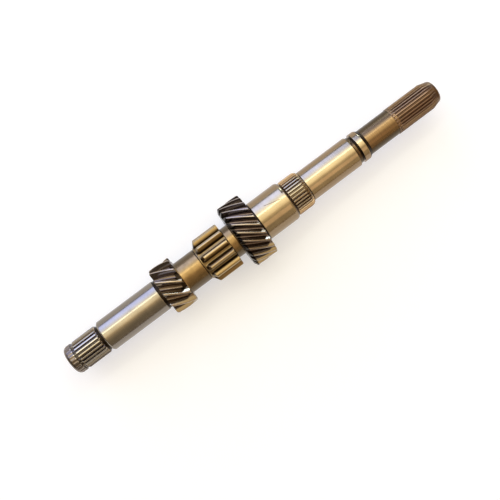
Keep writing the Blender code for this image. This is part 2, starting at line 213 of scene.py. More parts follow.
# %% Rings of teeth
def tooth_ring(shape, teeth, half_tooth, rounding, turn):
    """Draw the closed outline of all teeth from (radius, angle) points of half a tooth."""
    points = [shape.verts.new((0, -radius * math.sin(angle), radius * math.cos(angle)))
              for radius, angle in half_tooth]
    for near, far in zip(points, points[1:]):
        shape.edges.new((near, far))
    if rounding > 0:
        tips = [point for point, (_, angle) in zip(points, half_tooth)
                if angle > 0 and point.co.length > max(half_tooth)[0] - JOIN]
        round_off(shape, tips, rounding)
    bmesh.ops.mirror(shape, geom=shape.verts[:] + shape.edges[:], matrix=Matrix(), merge_dist=JOIN,
                     axis="Y")
    spin_round(shape, teeth, use_duplicate=True)
    bmesh.ops.remove_doubles(shape, verts=shape.verts, dist=JOIN * 5)
    bmesh.ops.rotate(shape, verts=shape.verts, cent=CENTRE, matrix=Matrix.Rotation(turn, 3, "X"))


def sweep_ring(shape, places, twist):
    """Sweep the ring along the axis from place to place, and return each ring's points."""
    bmesh.ops.translate(shape, verts=shape.verts, vec=(places[0], 0, 0))
    rings = [shape.verts[:]]
    edges = shape.edges[:]
    for near, far in zip(places, places[1:]):
        swept = bmesh.ops.spin(shape, geom=rings[-1] + edges, cent=CENTRE, axis=AXIS,
                               dvec=(far - near, 0, 0), angle=(far - near) * twist, steps=1)
        rings.append([item for item in swept["geom_last"] if isinstance(item, bmesh.types.BMVert)])
        edges = [item for item in swept["geom_last"] if isinstance(item, bmesh.types.BMEdge)]
    return rings


def limit_ring(ring, low, high):
    """Move a ring's points out to the floor of the gaps and in to the turned blank."""
    for point in ring:
        radius = math.hypot(point.co.y, point.co.z)
        scale = min(max(radius, low), high) / radius
        point.co.y *= scale
        point.co.z *= scale


print("a ring is drawn once and swept from place to place")

# %% [markdown]
# ## Lathe centres
# A shaft is turned between two points that press into the middle of its end faces. Each centre is a
# cone of 60 degrees with a small pilot hole behind it. It is sunk into the open edge of the end face
# by three extrusions, which keeps the body closed.

# %% Lathe centres
CENTRE_MOUTH = 0.0032
CENTRE_PILOT = 0.0012
CENTRE_ANGLE = math.radians(60)
PILOT_LENGTH = 0.0030


def lathe_centre(shape, face):
    """Run the flat end face in to the centre's mouth, then sink the cone and the pilot hole."""
    inwards = -math.copysign(1, face)
    cone_end = face + inwards * (CENTRE_MOUTH - CENTRE_PILOT) / math.tan(CENTRE_ANGLE / 2)
    hole_end = cone_end + inwards * PILOT_LENGTH
    steps = ((face, CENTRE_MOUTH), (cone_end, CENTRE_PILOT), (hole_end, CENTRE_PILOT))
    edges = [edge for edge in shape.edges if edge.is_boundary and abs(edge.verts[0].co.x - face) < JOIN]
    for place, radius in steps:
        sunk = bmesh.ops.extrude_edge_only(shape, edges=edges)["geom"]
        edges = [item for item in sunk if isinstance(item, bmesh.types.BMEdge)]
        ring = [item for item in sunk if isinstance(item, bmesh.types.BMVert)]
        limit_ring(ring, radius, radius)
        for point in ring:
            point.co.x = place


print("centres are", CENTRE_MOUTH * 2000, "mm wide at the face")

# %% [markdown]
# ## Toothed pieces
# One function makes every gear and spline from its sections. A section says for one place along the
# axis how deep the gaps go and how far out the turned blank reaches, so bevels, run-outs and grooves
# all come from the same short list.

# %% Toothed pieces
def toothed_piece(name, teeth, half_tooth, sections, turn, twist=0.0, rounding=0.0, shape_ring=None,
                  end_face=None):
    """A toothed piece through (place, floor radius, blank radius) sections."""
    shape = bmesh.new()
    tooth_ring(shape, teeth, half_tooth, rounding, turn)
    rings = sweep_ring(shape, [section[0] for section in sections], twist)
    for ring, (place, low, high) in zip(rings, sections):
        if shape_ring:
            shape_ring(ring, place)
        limit_ring(ring, low, high)
    if end_face:
        lathe_centre(shape, end_face)
    open_edges = [edge for edge in shape.edges if edge.is_boundary]
    bmesh.ops.holes_fill(shape, edges=open_edges, sides=0)
    return finish_mesh(shape, name)


def even_steps(first, last, count):
    """Evenly spaced values from first to last, without the last."""
    return [first + (last - first) * step / count for step in range(count)]


def finer(sections, step):
    """The same sections with more of them between, no further apart than a step."""
    result = []
    for near, far in zip(sections, sections[1:]):
        count = max(1, math.ceil((far[0] - near[0]) / step))
        values = [even_steps(first, last, count) for first, last in zip(near, far)]
        result += list(zip(*values))
    return result + [sections[-1]]


print("a slope in finer sections:", finer([(0.0, 1.0, 2.0), (1.0, 1.0, 3.0)], 0.5))

# %% [markdown]
# ## Involute teeth
# The flank of a gear tooth is an involute, the curve that the end of a taut string draws when it is
# unwound from a circle. It is steep near the root and leans in towards the tip, and a small fillet
# joins it to the root.

# %% Involute flank
PRESSURE_ANGLE = math.radians(20)
FLANK_POINTS = 7
FILLET_POINTS = 6
NEARLY_HALF = 0.499


def involute(base_radius, radius):
    angle = math.acos(min(1.0, base_radius / radius))
    return math.tan(angle) - angle


def gear_half_tooth(teeth, tip, addendum, root, share, fillet, fillet_width, helix):
    """Half of a gear tooth, from the middle of its land to the middle of the gap."""
    pitch_radius = tip - addendum
    pitch = 2 * math.pi / teeth
    transverse = math.atan(math.tan(PRESSURE_ANGLE) / math.cos(helix))
    base_radius = pitch_radius * math.cos(transverse)

    def half_angle(radius):
        return share * pitch / 2 + involute(base_radius, pitch_radius) - involute(base_radius, radius)

    form = root + fillet
    points = [(tip, 0.0)]
    points += [(radius, half_angle(radius)) for radius in even_steps(tip, form, FLANK_POINTS)]
    form_half = half_angle(form)
    root_half = min(form_half + fillet_width / root, pitch * NEARLY_HALF)
    for step in range(FILLET_POINTS + 1):
        lean = math.pi / 2 * step / FILLET_POINTS
        widened = (root_half - form_half) * (1 - math.cos(lean))
        points.append((form - fillet * math.sin(lean), form_half + widened))
    points.append((root, pitch / 2))
    return points


print("each flank has", FLANK_POINTS, "points and each fillet", FILLET_POINTS)

# %% [markdown]
# ## The turned body
# Everything that isn't toothed is one turned body: journals, relief grooves, the forged stretches
# and the thin neck. The body runs on under the gears and splines, so that no gap shows between them.

# %% Turned body
FINE_EDGE = 0.0002
SOFT_EDGE = 0.0004
UNDERCUT_EDGE = 0.0005
FORGED_FILLET = 0.0008
FORGED_STEP = 0.0001
GEAR_2_FILLET = 0.0012
SPUR_FILLET = 0.0005
REAR_JOURNAL_CHAMFER = 0.0014
LONG_JOURNAL_CHAMFER = 0.0007
SLEEVE_ROUND = 0.0031
COLLAR_SLOPE = 0.0026
RING_WIDTH = 0.0007
RING_DEPTH = 0.0004
SPUR_START = start["spur"] + 0.0015
BURIED = 0.0030
BODY_SHARP_ANGLE = math.radians(28)
RADIUS = {
    "rear_relief": 0.0110,
    "rear_journal": 0.0134,
    "gear_1_relief": 0.0127,
    "forged": 0.0141,
    "neck": 0.0139,
    "gear_2_relief": 0.0160,
    "sleeve_journal": 0.0173,
    "hub_relief": 0.0140,
    "long_relief": 0.0128,
    "long_journal": 0.01335,
    "circlip_groove": 0.0121,
    "undercut": 0.0109,
    "collar": 0.01315,
    "thin_neck": 0.01135,
}


def body_outline():
    """Corners of the turned body, from the rear relief groove to the clutch spline."""
    forged = RADIUS["forged"]
    neck = RADIUS["neck"]
    sleeve = RADIUS["sleeve_journal"]
    journal = RADIUS["long_journal"]
    return [
        (start["rear_relief"] - BURIED, 0, 0),
        (start["rear_relief"] - BURIED, RADIUS["rear_relief"], 0),
        (end["rear_relief"], RADIUS["rear_relief"], UNDERCUT_EDGE),
        (start["rear_journal"], RADIUS["rear_journal"] - REAR_JOURNAL_CHAMFER, FINE_EDGE),
        (start["rear_journal"] + REAR_JOURNAL_CHAMFER, RADIUS["rear_journal"], SOFT_EDGE),
        (end["rear_journal"], RADIUS["rear_journal"], FINE_EDGE),
        (start["gear_1_relief"], RADIUS["gear_1_relief"], FINE_EDGE),
        (start["gear_1"] + BURIED, RADIUS["gear_1_relief"], 0),
        (start["gear_1"] + BURIED, forged - FORGED_FILLET, 0),
        (end["gear_1"] - BURIED, forged - FORGED_FILLET, 0),
        (end["gear_1"] - BURIED, forged + FORGED_FILLET * 3, 0),
        (end["gear_1"], forged + FORGED_FILLET * 2, 0),
        (end["gear_1"] + FORGED_STEP, forged, FORGED_FILLET),
        (SPUR_START - RING_WIDTH, forged, FINE_EDGE),
        (SPUR_START - RING_WIDTH, forged - RING_DEPTH, 0),
        (SPUR_START, forged - RING_DEPTH, 0),
        (end["spur"] - BURIED, forged, 0),
        (end["spur"], neck + SPUR_FILLET, 0),
        (end["spur"] + SPUR_FILLET, neck, 0),
        (start["gear_2"], neck, GEAR_2_FILLET),
        (start["gear_2"], neck + GEAR_2_FILLET * 2, 0),
        (start["gear_2"] + BURIED, neck + GEAR_2_FILLET * 2, 0),
        (end["gear_2"] - BURIED, RADIUS["gear_2_relief"], 0),
        (start["sleeve_journal"], RADIUS["gear_2_relief"], 0),
        (start["sleeve_journal"], sleeve - RING_DEPTH, 0),
        (start["sleeve_journal"] + RING_WIDTH, sleeve - RING_DEPTH, 0),
        (start["sleeve_journal"] + RING_WIDTH, sleeve, FINE_EDGE),
        (end["sleeve_journal"], sleeve, SLEEVE_ROUND),
        (end["sleeve_journal"], RADIUS["hub_relief"], FINE_EDGE),
        (start["hub_spline"] + BURIED, RADIUS["hub_relief"], 0),
        (end["hub_spline"] - BURIED, RADIUS["long_relief"], 0),
        (start["long_journal"], RADIUS["long_relief"], 0),
        (start["long_journal"], journal, FINE_EDGE),
        (end["long_journal"] - LONG_JOURNAL_CHAMFER, journal, FINE_EDGE),
        (end["long_journal"], journal - LONG_JOURNAL_CHAMFER, FINE_EDGE),
        (end["long_journal"], RADIUS["circlip_groove"], FINE_EDGE),
        (end["circlip_groove"] - RING_WIDTH, RADIUS["circlip_groove"], 0),
        (end["circlip_groove"], RADIUS["circlip_groove"] - RING_DEPTH, 0),
        (end["circlip_groove"], RADIUS["undercut"], 0),
        (start["collar"], RADIUS["undercut"], 0),
        (start["collar"], RADIUS["collar"], FINE_EDGE),
        (end["collar"] - COLLAR_SLOPE, RADIUS["collar"], SOFT_EDGE),
        (end["collar"], RADIUS["thin_neck"], SOFT_EDGE),
        (start["clutch_spline"] + BURIED, RADIUS["thin_neck"], 0),
        (start["clutch_spline"] + BURIED, 0, 0),
    ]


shaft_body = finish_mesh(turned_shape(body_outline()), "shaft_body", BODY_SHARP_ANGLE)
print("turned body has", len(shaft_body.data.polygons), "faces")

# %% [markdown]
# ## Helical gears
# The two helical gears have right-handed teeth. Their blanks were bevelled before the teeth were cut.
# The large gear has a steep bevel towards the spur gear over most of the height of its teeth.

# %% Helical gears
GEAR_STEP = 0.0009
EDGE_STEP = 0.0003
GEAR_1 = {"teeth": 11, "tip": 0.0210, "addendum": 0.0028, "root": 0.0151, "share": 0.41,
          "fillet": 0.0020, "fillet_width": 0.0030, "helix": math.radians(30.5)}
GEAR_2 = {"teeth": 22, "tip": 0.0279, "addendum": 0.0020, "root": 0.0235, "share": 0.45,
          "fillet": 0.0011, "fillet_width": 0.0020, "helix": math.radians(34.5)}
GEAR_1_TURN = math.radians(3.3)
GEAR_2_TURN = math.radians(7.4)
GEAR_1_EDGE = 0.0009
GEAR_2_EDGE = 0.0008
GEAR_2_BEVEL = (0.0020, 0.0034)
GEAR_1_ROUNDING = 0.0003
GEAR_2_ROUNDING = 0.00025


def gear_sections(stretch, gear, bevel, edge):
    """Sections of a blank with a (length, drop) bevel and a far edge of 45 degrees."""
    root = gear["root"]
    tip = gear["tip"]
    bevel_length, bevel_drop = bevel
    near = start[stretch]
    far = end[stretch]
    bevelled = finer([(near, root, tip - bevel_drop), (near + bevel_length, root, tip)], EDGE_STEP)
    toothed = finer([(near + bevel_length, root, tip), (far - edge, root, tip)], GEAR_STEP)
    edged = finer([(far - edge, root, tip), (far, root, tip - edge)], EDGE_STEP)
    return bevelled[:-1] + toothed[:-1] + edged


def helical_gear(name, gear, sections, turn, rounding):
    """A helical gear from its values, its blank's sections and its turn about the axis."""
    twist = math.tan(gear["helix"]) / (gear["tip"] - gear["addendum"])
    return toothed_piece(name, gear["teeth"], gear_half_tooth(**gear), sections, turn, twist, rounding)


def first_helical_gear():
    sections = gear_sections("gear_1", GEAR_1, (GEAR_1_EDGE, GEAR_1_EDGE), GEAR_1_EDGE)
    return helical_gear("first_helical_gear", GEAR_1, sections, GEAR_1_TURN, GEAR_1_ROUNDING)


def second_helical_gear():
    sections = gear_sections("gear_2", GEAR_2, GEAR_2_BEVEL, GEAR_2_EDGE)
    return helical_gear("second_helical_gear", GEAR_2, sections, GEAR_2_TURN, GEAR_2_ROUNDING)


gear_1 = first_helical_gear()
gear_2 = second_helical_gear()
print("helical gears have", len(gear_1.data.polygons), "and", len(gear_2.data.polygons), "faces")

# %% [markdown]
# ## Spur gear
# Reverse gear is a sliding spur gear, so its teeth are pointed on the side where the idler slides in.
# Each tooth narrows to a point at its root, and its ridge rises from there to the full land.

# %% Spur gear
SPUR = {"teeth": 12, "tip": 0.0199, "addendum": 0.0031, "root": 0.0147, "share": 0.575,
        "fillet": 0.0008, "fillet_width": 0.0008, "helix": 0.0}
SPUR_TURN = math.radians(-7.2)
SPUR_POINT_START = start["spur"] + 0.0022
SPUR_POINT_LENGTH = 0.0032
SPUR_EDGE = 0.0006
POINT_SHARE = 0.10
POINT_STEPS = 10
SPUR_STEPS = 6
SPUR_FORM = 0.0007


def narrow_tooth_ends(ring, place):
    """Narrow the teeth to points, each about its own middle."""
    share = min(1.0, max(0.0, (place - SPUR_POINT_START) / SPUR_POINT_LENGTH))
    width = POINT_SHARE + (1 - POINT_SHARE) * math.sin(share * math.pi / 2)
    pitch = 2 * math.pi / SPUR["teeth"]
    for point in ring:
        radius = math.hypot(point.co.y, point.co.z)
        turn = math.atan2(-point.co.y, point.co.z) - SPUR_TURN
        offset = (turn + pitch / 2) % pitch - pitch / 2
        height = min(1.0, max(0.0, (radius - SPUR["root"]) / SPUR_FORM))
        moved = turn - offset + offset * (1 - height * (1 - width)) + SPUR_TURN
        point.co.y = -radius * math.sin(moved)
        point.co.z = radius * math.cos(moved)


def spur_gear():
    root = SPUR["root"]
    tip = SPUR["tip"]
    far = end["spur"]
    sections = [(SPUR_START, root, root)]
    for step in range(POINT_STEPS + 1):
        share = step / POINT_STEPS
        place = SPUR_POINT_START + SPUR_POINT_LENGTH * share
        sections.append((place, root, root + (tip - root) * share))
    toothed = even_steps(SPUR_POINT_START + SPUR_POINT_LENGTH, far - SPUR_EDGE, SPUR_STEPS)
    sections += [(place, root, tip) for place in toothed[1:]]
    sections += finer([(far - SPUR_EDGE, root, tip), (far, root, tip - SPUR_EDGE)], EDGE_STEP)
    return toothed_piece("spur_gear", SPUR["teeth"], gear_half_tooth(**SPUR), sections, SPUR_TURN,
                         rounding=SPUR_EDGE, shape_ring=narrow_tooth_ends)


spur = spur_gear()
print("spur gear has", len(spur.data.polygons), "faces")

# %% [markdown]
# ## Splines
# Splines hold hubs that turn with the shaft. Their teeth are short with straight sides, so half a
# tooth is four points. The three splines share that tooth and differ in how their ends are cut.

# %% Splines
SPLINE_ROOT_SHARE = 0.72
SPLINE_TIP_SHARE = 0.36
SPLINE_STEP = 0.0020
SPLINE_ROUNDING = 0.00012
THIN = 0.00002
ROUND_STEPS = 8


def spline_half_tooth(teeth, tip, root):
    """Half of a straight-sided tooth, from the middle of its land to the middle of the gap."""
    half_pitch = math.pi / teeth
    return [(tip, 0.0), (tip, SPLINE_TIP_SHARE * half_pitch), (root, SPLINE_ROOT_SHARE * half_pitch),
            (root, half_pitch)]


def splined_piece(name, spline, sections, turn, end_face=None):
    """A spline from its values, its sections and its turn, with a lathe centre if it has an end face."""
    return toothed_piece(name, spline["teeth"], spline_half_tooth(**spline), sections, turn,
                         rounding=SPLINE_ROUNDING, end_face=end_face)


def quarter_round(length, low, high, count=ROUND_STEPS):
    """(offset, radius) points from an end face, along a quarter of an ellipse."""
    points = []
    for step in range(count + 1):
        angle = math.pi / 2 * step / count
        points.append((length * (1 - math.cos(angle)), low + (high - low) * math.sin(angle)))
    return points


print("lands take", round(SPLINE_TIP_SHARE * 100), "percent of a spline's pitch")

# %% [markdown]
# ## Rear spline
# The rear spline carries a hub that a circlip holds. Its end is rounded over a quarter of an ellipse,
# its gaps are shallow on the end ring, and the circlip groove cuts across the teeth.

# %% Rear spline
REAR_SPLINE = {"teeth": 24, "tip": 0.0124, "root": 0.0112}
REAR_SPLINE_TURN = math.radians(1.7)
REAR_END_ROUND = 0.0039
REAR_END_RADIUS = 0.0097
REAR_RING_DEPTH = 0.0003
REAR_RUN_OUT = 0.0014
REAR_RUN_OUT_STEPS = 5
REAR_GROOVE_START = start["rear_spline"] + 0.0070
REAR_GROOVE_END = REAR_GROOVE_START + 0.0023
REAR_GROOVE_FLOOR = 0.0116


def rear_spline():
    tip = REAR_SPLINE["tip"]
    root = REAR_SPLINE["root"]
    ring_floor = tip - REAR_RING_DEPTH
    near = start["rear_spline"]
    far = end["rear_spline"]
    teeth_start = REAR_GROOVE_END + THIN
    sections = [(near + offset, min(ring_floor, radius), radius)
                for offset, radius in quarter_round(REAR_END_ROUND, REAR_END_RADIUS, tip)]
    sections += [(REAR_GROOVE_START, ring_floor, tip)]
    sections += [(REAR_GROOVE_START + THIN, root, REAR_GROOVE_FLOOR)]
    sections += [(REAR_GROOVE_END, root, REAR_GROOVE_FLOOR), (teeth_start, root, tip)]
    sections += finer([(teeth_start + THIN, root, tip), (far - REAR_RUN_OUT, root, tip)], SPLINE_STEP)
    run_out = quarter_round(REAR_RUN_OUT, tip - REAR_RUN_OUT, tip, REAR_RUN_OUT_STEPS)[:-1]
    sections += [(far - offset, root, radius) for offset, radius in reversed(run_out)]
    return splined_piece("rear_spline", REAR_SPLINE, sections, REAR_SPLINE_TURN, near)


rear = rear_spline()
print("rear spline has", len(rear.data.polygons), "faces")

# %% [markdown]
# ## Hub spline
# A hub sits tight on this spline. Its blank slopes down to the long journal in a growing curve, and
# the gaps fade out where the slope nears their floor.

# %% Hub spline
HUB_SPLINE = {"teeth": 35, "tip": 0.01575, "root": 0.0142}
HUB_SPLINE_TURN = math.radians(6.6)
HUB_SPLINE_START = start["hub_spline"] - 0.0006
HUB_EDGE = 0.0004
HUB_EDGE_LENGTH = 0.0003
HUB_TEETH_START = 0.0005
HUB_SLOPE_LENGTH = 0.0038
HUB_SLOPE_DROP = 0.0015
HUB_SLOPE_STEPS = 8


def hub_spline():
    tip = HUB_SPLINE["tip"]
    root = HUB_SPLINE["root"]
    near = HUB_SPLINE_START
    slope_start = end["hub_spline"] - HUB_SLOPE_LENGTH
    sections = [(near, root, tip - HUB_EDGE), (near + HUB_EDGE_LENGTH, root, tip)]
    sections += finer([(near + HUB_TEETH_START, root, tip), (slope_start, root, tip)], SPLINE_STEP)
    for step in range(1, HUB_SLOPE_STEPS + 1):
        share = step / HUB_SLOPE_STEPS
        radius = tip - HUB_SLOPE_DROP * share ** 2
        sections.append((slope_start + HUB_SLOPE_LENGTH * share, min(root, radius), radius))
    return splined_piece("hub_spline", HUB_SPLINE, sections, HUB_SPLINE_TURN)


hub = hub_spline()
print("hub spline has", len(hub.data.polygons), "faces")

# %% [markdown]
# ## Clutch spline
# A clutch disc slides on this long spline. A round cutter left the work towards the neck, so the gaps
# rise along a curve there, and the far end has a tapered nose that leads the disc on.

# %% Clutch spline
CLUTCH_SPLINE = {"teeth": 28, "tip": 0.01165, "root": 0.0106}
CLUTCH_SPLINE_TURN = math.radians(1.9)
CLUTCH_RUN_OUT = 0.0064
CLUTCH_RUN_OUT_STEPS = 8
NOSE_LENGTH = 0.0085
NOSE_DROP = 0.0016
NOSE_ROUND = 0.0032
NOSE_END_RADIUS = 0.0081


def clutch_spline():
    tip = CLUTCH_SPLINE["tip"]
    root = CLUTCH_SPLINE["root"]
    near = start["clutch_spline"]
    far = end["clutch_spline"]
    sections = []
    for step in range(CLUTCH_RUN_OUT_STEPS + 1):
        share = step / CLUTCH_RUN_OUT_STEPS
        floor = tip - (tip - root) * math.sin(share * math.pi / 2)
        sections.append((near + CLUTCH_RUN_OUT * share, floor, tip))
    toothed_start = near + CLUTCH_RUN_OUT + THIN
    sections += finer([(toothed_start, root, tip), (far - NOSE_LENGTH, root, tip)], SPLINE_STEP)
    for offset, radius in reversed(quarter_round(NOSE_ROUND, NOSE_END_RADIUS, tip - NOSE_DROP)):
        sections.append((far - offset, min(root, radius), radius))
    return splined_piece("clutch_spline", CLUTCH_SPLINE, sections, CLUTCH_SPLINE_TURN, far)


clutch = clutch_spline()
print("clutch spline has", len(clutch.data.polygons), "faces")

# %% [markdown]
# ## Surface helpers
# Every finish of the shaft follows its axis. The place along it gives turning and grinding marks, the
# distance from it tells a tooth's land from its dark gap, and the height paints shade down the sides.
# All three come from Object coordinates, so they stay on the metal.

# %% Surface helpers
NOISE_LOW = 0.32
NOISE_HIGH = 0.68
# Painted shade: below these shares of the radius the sides take a darker colour.
SIDE_SHADE_FROM = 0.82
SIDE_SHADE_TO = 0.66


def set_values(node, **settings):
    """Set a node's settings and the values of its sockets by name."""
    for name, value in settings.items():
        if hasattr(node, name):
            setattr(node, name, value)
        else:
            node.inputs[name.replace("_", " ")].default_value = value


def add(tree, kind, **settings):
    """A new node with its settings and socket values."""
    node = tree.nodes.new(kind)
    set_values(node, **settings)
    return node


def new_finish(name, roughness):
    """A metal material whose shader is ready for links."""
    material = bpy.data.materials.new(name)
    material.use_nodes = True
    tree = material.node_tree
    shader = tree.nodes["Principled BSDF"]
    set_values(shader, Metallic=1.0, Roughness=roughness)
    return material, tree, shader


def place_parts(tree, kind="Object"):
    """A coordinate as three outputs: X along the shaft, Y across it and Z up."""
    coordinates = add(tree, "ShaderNodeTexCoord")
    parts = add(tree, "ShaderNodeSeparateXYZ")
    tree.links.new(coordinates.outputs[kind], parts.inputs["Vector"])
    return parts.outputs


def axis_distance(tree):
    """The distance from the shaft's axis, in metres."""
    coordinates = add(tree, "ShaderNodeTexCoord")
    across = add(tree, "ShaderNodeVectorMath", operation="MULTIPLY")
    across.inputs[1].default_value = (0, 1, 1)
    length = add(tree, "ShaderNodeVectorMath", operation="LENGTH")
    tree.links.new(coordinates.outputs["Object"], across.inputs[0])
    tree.links.new(across.outputs["Vector"], length.inputs[0])
    return length.outputs["Value"]


def stretched_noise(tree, along, across, detail, low=0.0, high=1.0):
    """Noise with its own scale along and across the axis, spread over a range."""
    coordinates = add(tree, "ShaderNodeTexCoord")
    mapping = add(tree, "ShaderNodeMapping", Scale=(along, across, across))
    noise = add(tree, "ShaderNodeTexNoise", Scale=1.0, Detail=detail)
    spread = add(tree, "ShaderNodeMapRange", From_Min=NOISE_LOW, From_Max=NOISE_HIGH, To_Min=low,
                 To_Max=high)
    tree.links.new(coordinates.outputs["Object"], mapping.inputs["Vector"])
    tree.links.new(mapping.outputs["Vector"], noise.inputs["Vector"])
    tree.links.new(noise.outputs["Fac"], spread.inputs["Value"])
    return spread.outputs["Result"]


def mix_colours(tree, factor, first, second):
    """Mix two colours, each a colour or another mix, by a factor."""
    mix = add(tree, "ShaderNodeMix", data_type="RGBA")
    tree.links.new(factor, mix.inputs["Factor"])
    for socket, colour in ((mix.inputs[6], first), (mix.inputs[7], second)):
        if isinstance(colour, tuple):
            socket.default_value = (*colour, 1.0)
        else:
            tree.links.new(colour, socket)
    return mix.outputs[2]


def ramp(tree, value, low, high):
    """A smooth step from 0 to 1 between two values."""
    step = add(tree, "ShaderNodeMapRange", interpolation_type="SMOOTHSTEP", From_Min=low, From_Max=high)
    tree.links.new(value, step.inputs["Value"])
    return step.outputs["Result"]


def product(tree, first, second):
    """Two values multiplied, of which the second may be a plain number."""
    times = add(tree, "ShaderNodeMath", operation="MULTIPLY")
    tree.links.new(first, times.inputs[0])
    if isinstance(second, float):
        times.inputs[1].default_value = second
    else:
        tree.links.new(second, times.inputs[1])
    return times.outputs["Value"]


def painted_side_shade(tree, radius, top, sides):
    """A colour on top of a round stretch that gives way down its sides to a darker one, a painted shade.
    """
    height = place_parts(tree)["Z"]
    shaded_side = ramp(tree, height, radius * SIDE_SHADE_FROM, radius * SIDE_SHADE_TO)
    return mix_colours(tree, shaded_side, top, sides)


def dress(tree, shader, colour, height, depth):
    """Give a shader its colour, and relief from a height between 0 and 1."""
    relief = add(tree, "ShaderNodeBump", Strength=1.0, Distance=depth)
    tree.links.new(colour, shader.inputs["Base Color"])
    tree.links.new(height, relief.inputs["Height"])
    tree.links.new(relief.outputs["Normal"], shader.inputs["Normal"])


# The print gives the shares of the radius over which painted shade comes in down the sides.
print("oil starts at", SIDE_SHADE_FROM, "of the radius and is full at", SIDE_SHADE_TO)

# %% [markdown]
# ## Ground journals
# Bearings run on the journals, so they are ground until only very fine rings are left round them. A
# noise that is stretched round the shaft makes the rings and the slight change in gloss, and a slower
# one makes the warm film of oil. Towards the sides a darker colour is painted shade.

# %% Ground finishes
GROUND_RELIEF = 0.0000015
GROUND_GLOSS = (0.13, 0.22)


def ground_finish(name, light, dark, sides, radius, mark=None):
    """Ground steel with fine rings, a faint oil film and painted shade down its sides, and a mark if
    any.
    """
    material, tree, shader = new_finish(name, 0.2)
    film = stretched_noise(tree, along=90, across=130, detail=3)
    rings = stretched_noise(tree, along=2600, across=30, detail=2)
    low, high = GROUND_GLOSS
    gloss = stretched_noise(tree, along=900, across=20, detail=3, low=low, high=high)
    # Painted shade: the sides colour darkens the journal down its sides.
    colour = painted_side_shade(tree, radius, mix_colours(tree, film, light, dark), sides)
    if mark:
        colour = mark(tree, colour)
    tree.links.new(gloss, shader.inputs["Roughness"])
    dress(tree, shader, colour, rings, GROUND_RELIEF)
    return material


print("ground steel has a roughness from", GROUND_GLOSS[0], "to", GROUND_GLOSS[1])

# %% [markdown]
# ## A scratch
# One faint scratch runs at a slant over the top of the sleeve journal. It is where a slanting line,
# a length along the shaft and the upper half meet, so three simple tests are multiplied.

# %% Scratch
SCRATCH_SLOPE = 0.26
SCRATCH_PLACE = 0.0106
SCRATCH_WIDTH = 0.00045
SCRATCH_MIDDLE = 0.0206
SCRATCH_LENGTH = 0.0146
SCRATCH_ABOVE = 0.001
SCRATCH_COLOUR = (0.20, 0.15, 0.10)


def within(tree, value, middle, width):
    """1 where a value lies within a width about its middle, and 0 elsewhere."""
    near = add(tree, "ShaderNodeMath", operation="COMPARE")
    near.inputs[1].default_value = middle
    near.inputs[2].default_value = width / 2
    tree.links.new(value, near.inputs[0])
    return near.outputs["Value"]


def scratched(tree, colour):
    """The same colour with the scratch in it."""
    parts = place_parts(tree)
    slant = add(tree, "ShaderNodeMath", operation="MULTIPLY_ADD")
    slant.inputs[1].default_value = SCRATCH_SLOPE
    tree.links.new(parts["X"], slant.inputs[0])
    tree.links.new(parts["Y"], slant.inputs[2])
    on_line = within(tree, slant.outputs["Value"], SCRATCH_PLACE, SCRATCH_WIDTH)
    on_length = within(tree, parts["X"], SCRATCH_MIDDLE, SCRATCH_LENGTH)
    on_top = ramp(tree, parts["Z"], 0.0, SCRATCH_ABOVE)
    mark = product(tree, product(tree, on_line, on_length), on_top)
    return mix_colours(tree, mark, colour, SCRATCH_COLOUR)


print("scratch is", round(SCRATCH_LENGTH * 1000, 1), "mm long")

# %% [markdown]
# ## Forged and browned steel, and painted groove shade
# Between the gears the steel is left as forged and blasted, a golden satin with a fine grain. The
# thin neck is turned, and warm oil has browned it. Both are darker down their sides, a painted shade.
# The relief grooves are narrow, and their near-black colour is painted shade with a faint stain.

# %% Forged, browned and oiled finishes
FORGED_RELIEF = 0.000010
TURNED_RELIEF = 0.000002


def forged_finish():
    """Blasted forging: satin, golden and finely mottled, with painted shade down its sides."""
    material, tree, shader = new_finish("forged_satin", 0.25)
    cloud = stretched_noise(tree, along=260, across=260, detail=4)
    grain = stretched_noise(tree, along=2400, across=2400, detail=2)
    blasted = mix_colours(tree, cloud, (0.35, 0.235, 0.105), (0.28, 0.187, 0.083))
    # Painted shade: the forging darkens down its sides.
    colour = painted_side_shade(tree, RADIUS["forged"], blasted, (0.125, 0.093, 0.057))
    dress(tree, shader, colour, grain, FORGED_RELIEF)
    return material


def browned_finish(name, light, dark):
    """Turned steel, browned by oil, with faint tool rings and painted shade down its sides."""
    material, tree, shader = new_finish(name, 0.24)
    rings = stretched_noise(tree, along=1500, across=12, detail=3)
    turned = mix_colours(tree, rings, light, dark)
    # Painted shade: the turned steel darkens down its sides.
    colour = painted_side_shade(tree, RADIUS["thin_neck"], turned, (0.085, 0.06, 0.033))
    dress(tree, shader, colour, rings, TURNED_RELIEF)
    return material


def groove_shade_finish():
    """Near-black painted shade on the floor of the relief grooves, with a faint stain."""
    material, tree, shader = new_finish("groove_shade", 0.4)
    stain = stretched_noise(tree, along=400, across=300, detail=3)
    # Painted shade: near black where the narrow grooves lie in shade.
    painted_shade = mix_colours(tree, stain, (0.035, 0.024, 0.015), (0.018, 0.013, 0.009))
    tree.links.new(painted_shade, shader.inputs["Base Color"])
    return material


finishes = [
    ground_finish("rear_ground", light=(0.41, 0.362, 0.285), dark=(0.34, 0.302, 0.243),
                  sides=(0.24, 0.21, 0.175), radius=RADIUS["rear_journal"]),
    ground_finish("clutch_ground", light=(0.53, 0.44, 0.29), dark=(0.46, 0.38, 0.25),
                  sides=(0.29, 0.205, 0.12), radius=RADIUS["long_journal"]),
    ground_finish("sleeve_ground", light=(0.52, 0.43, 0.28), dark=(0.45, 0.37, 0.24),
                  sides=(0.29, 0.21, 0.125), radius=RADIUS["sleeve_journal"], mark=scratched),
    forged_finish(),
    browned_finish("browned_neck", light=(0.30, 0.20, 0.103), dark=(0.235, 0.155, 0.08)),
    # Painted shade: a dark brown for the circlip groove and for rounded and chamfered edges.
    browned_finish("brown_shade", light=(0.17, 0.115, 0.065), dark=(0.12, 0.08, 0.045)),
    groove_shade_finish(),
]
print("turned finishes:", [finish.name for finish in finishes])
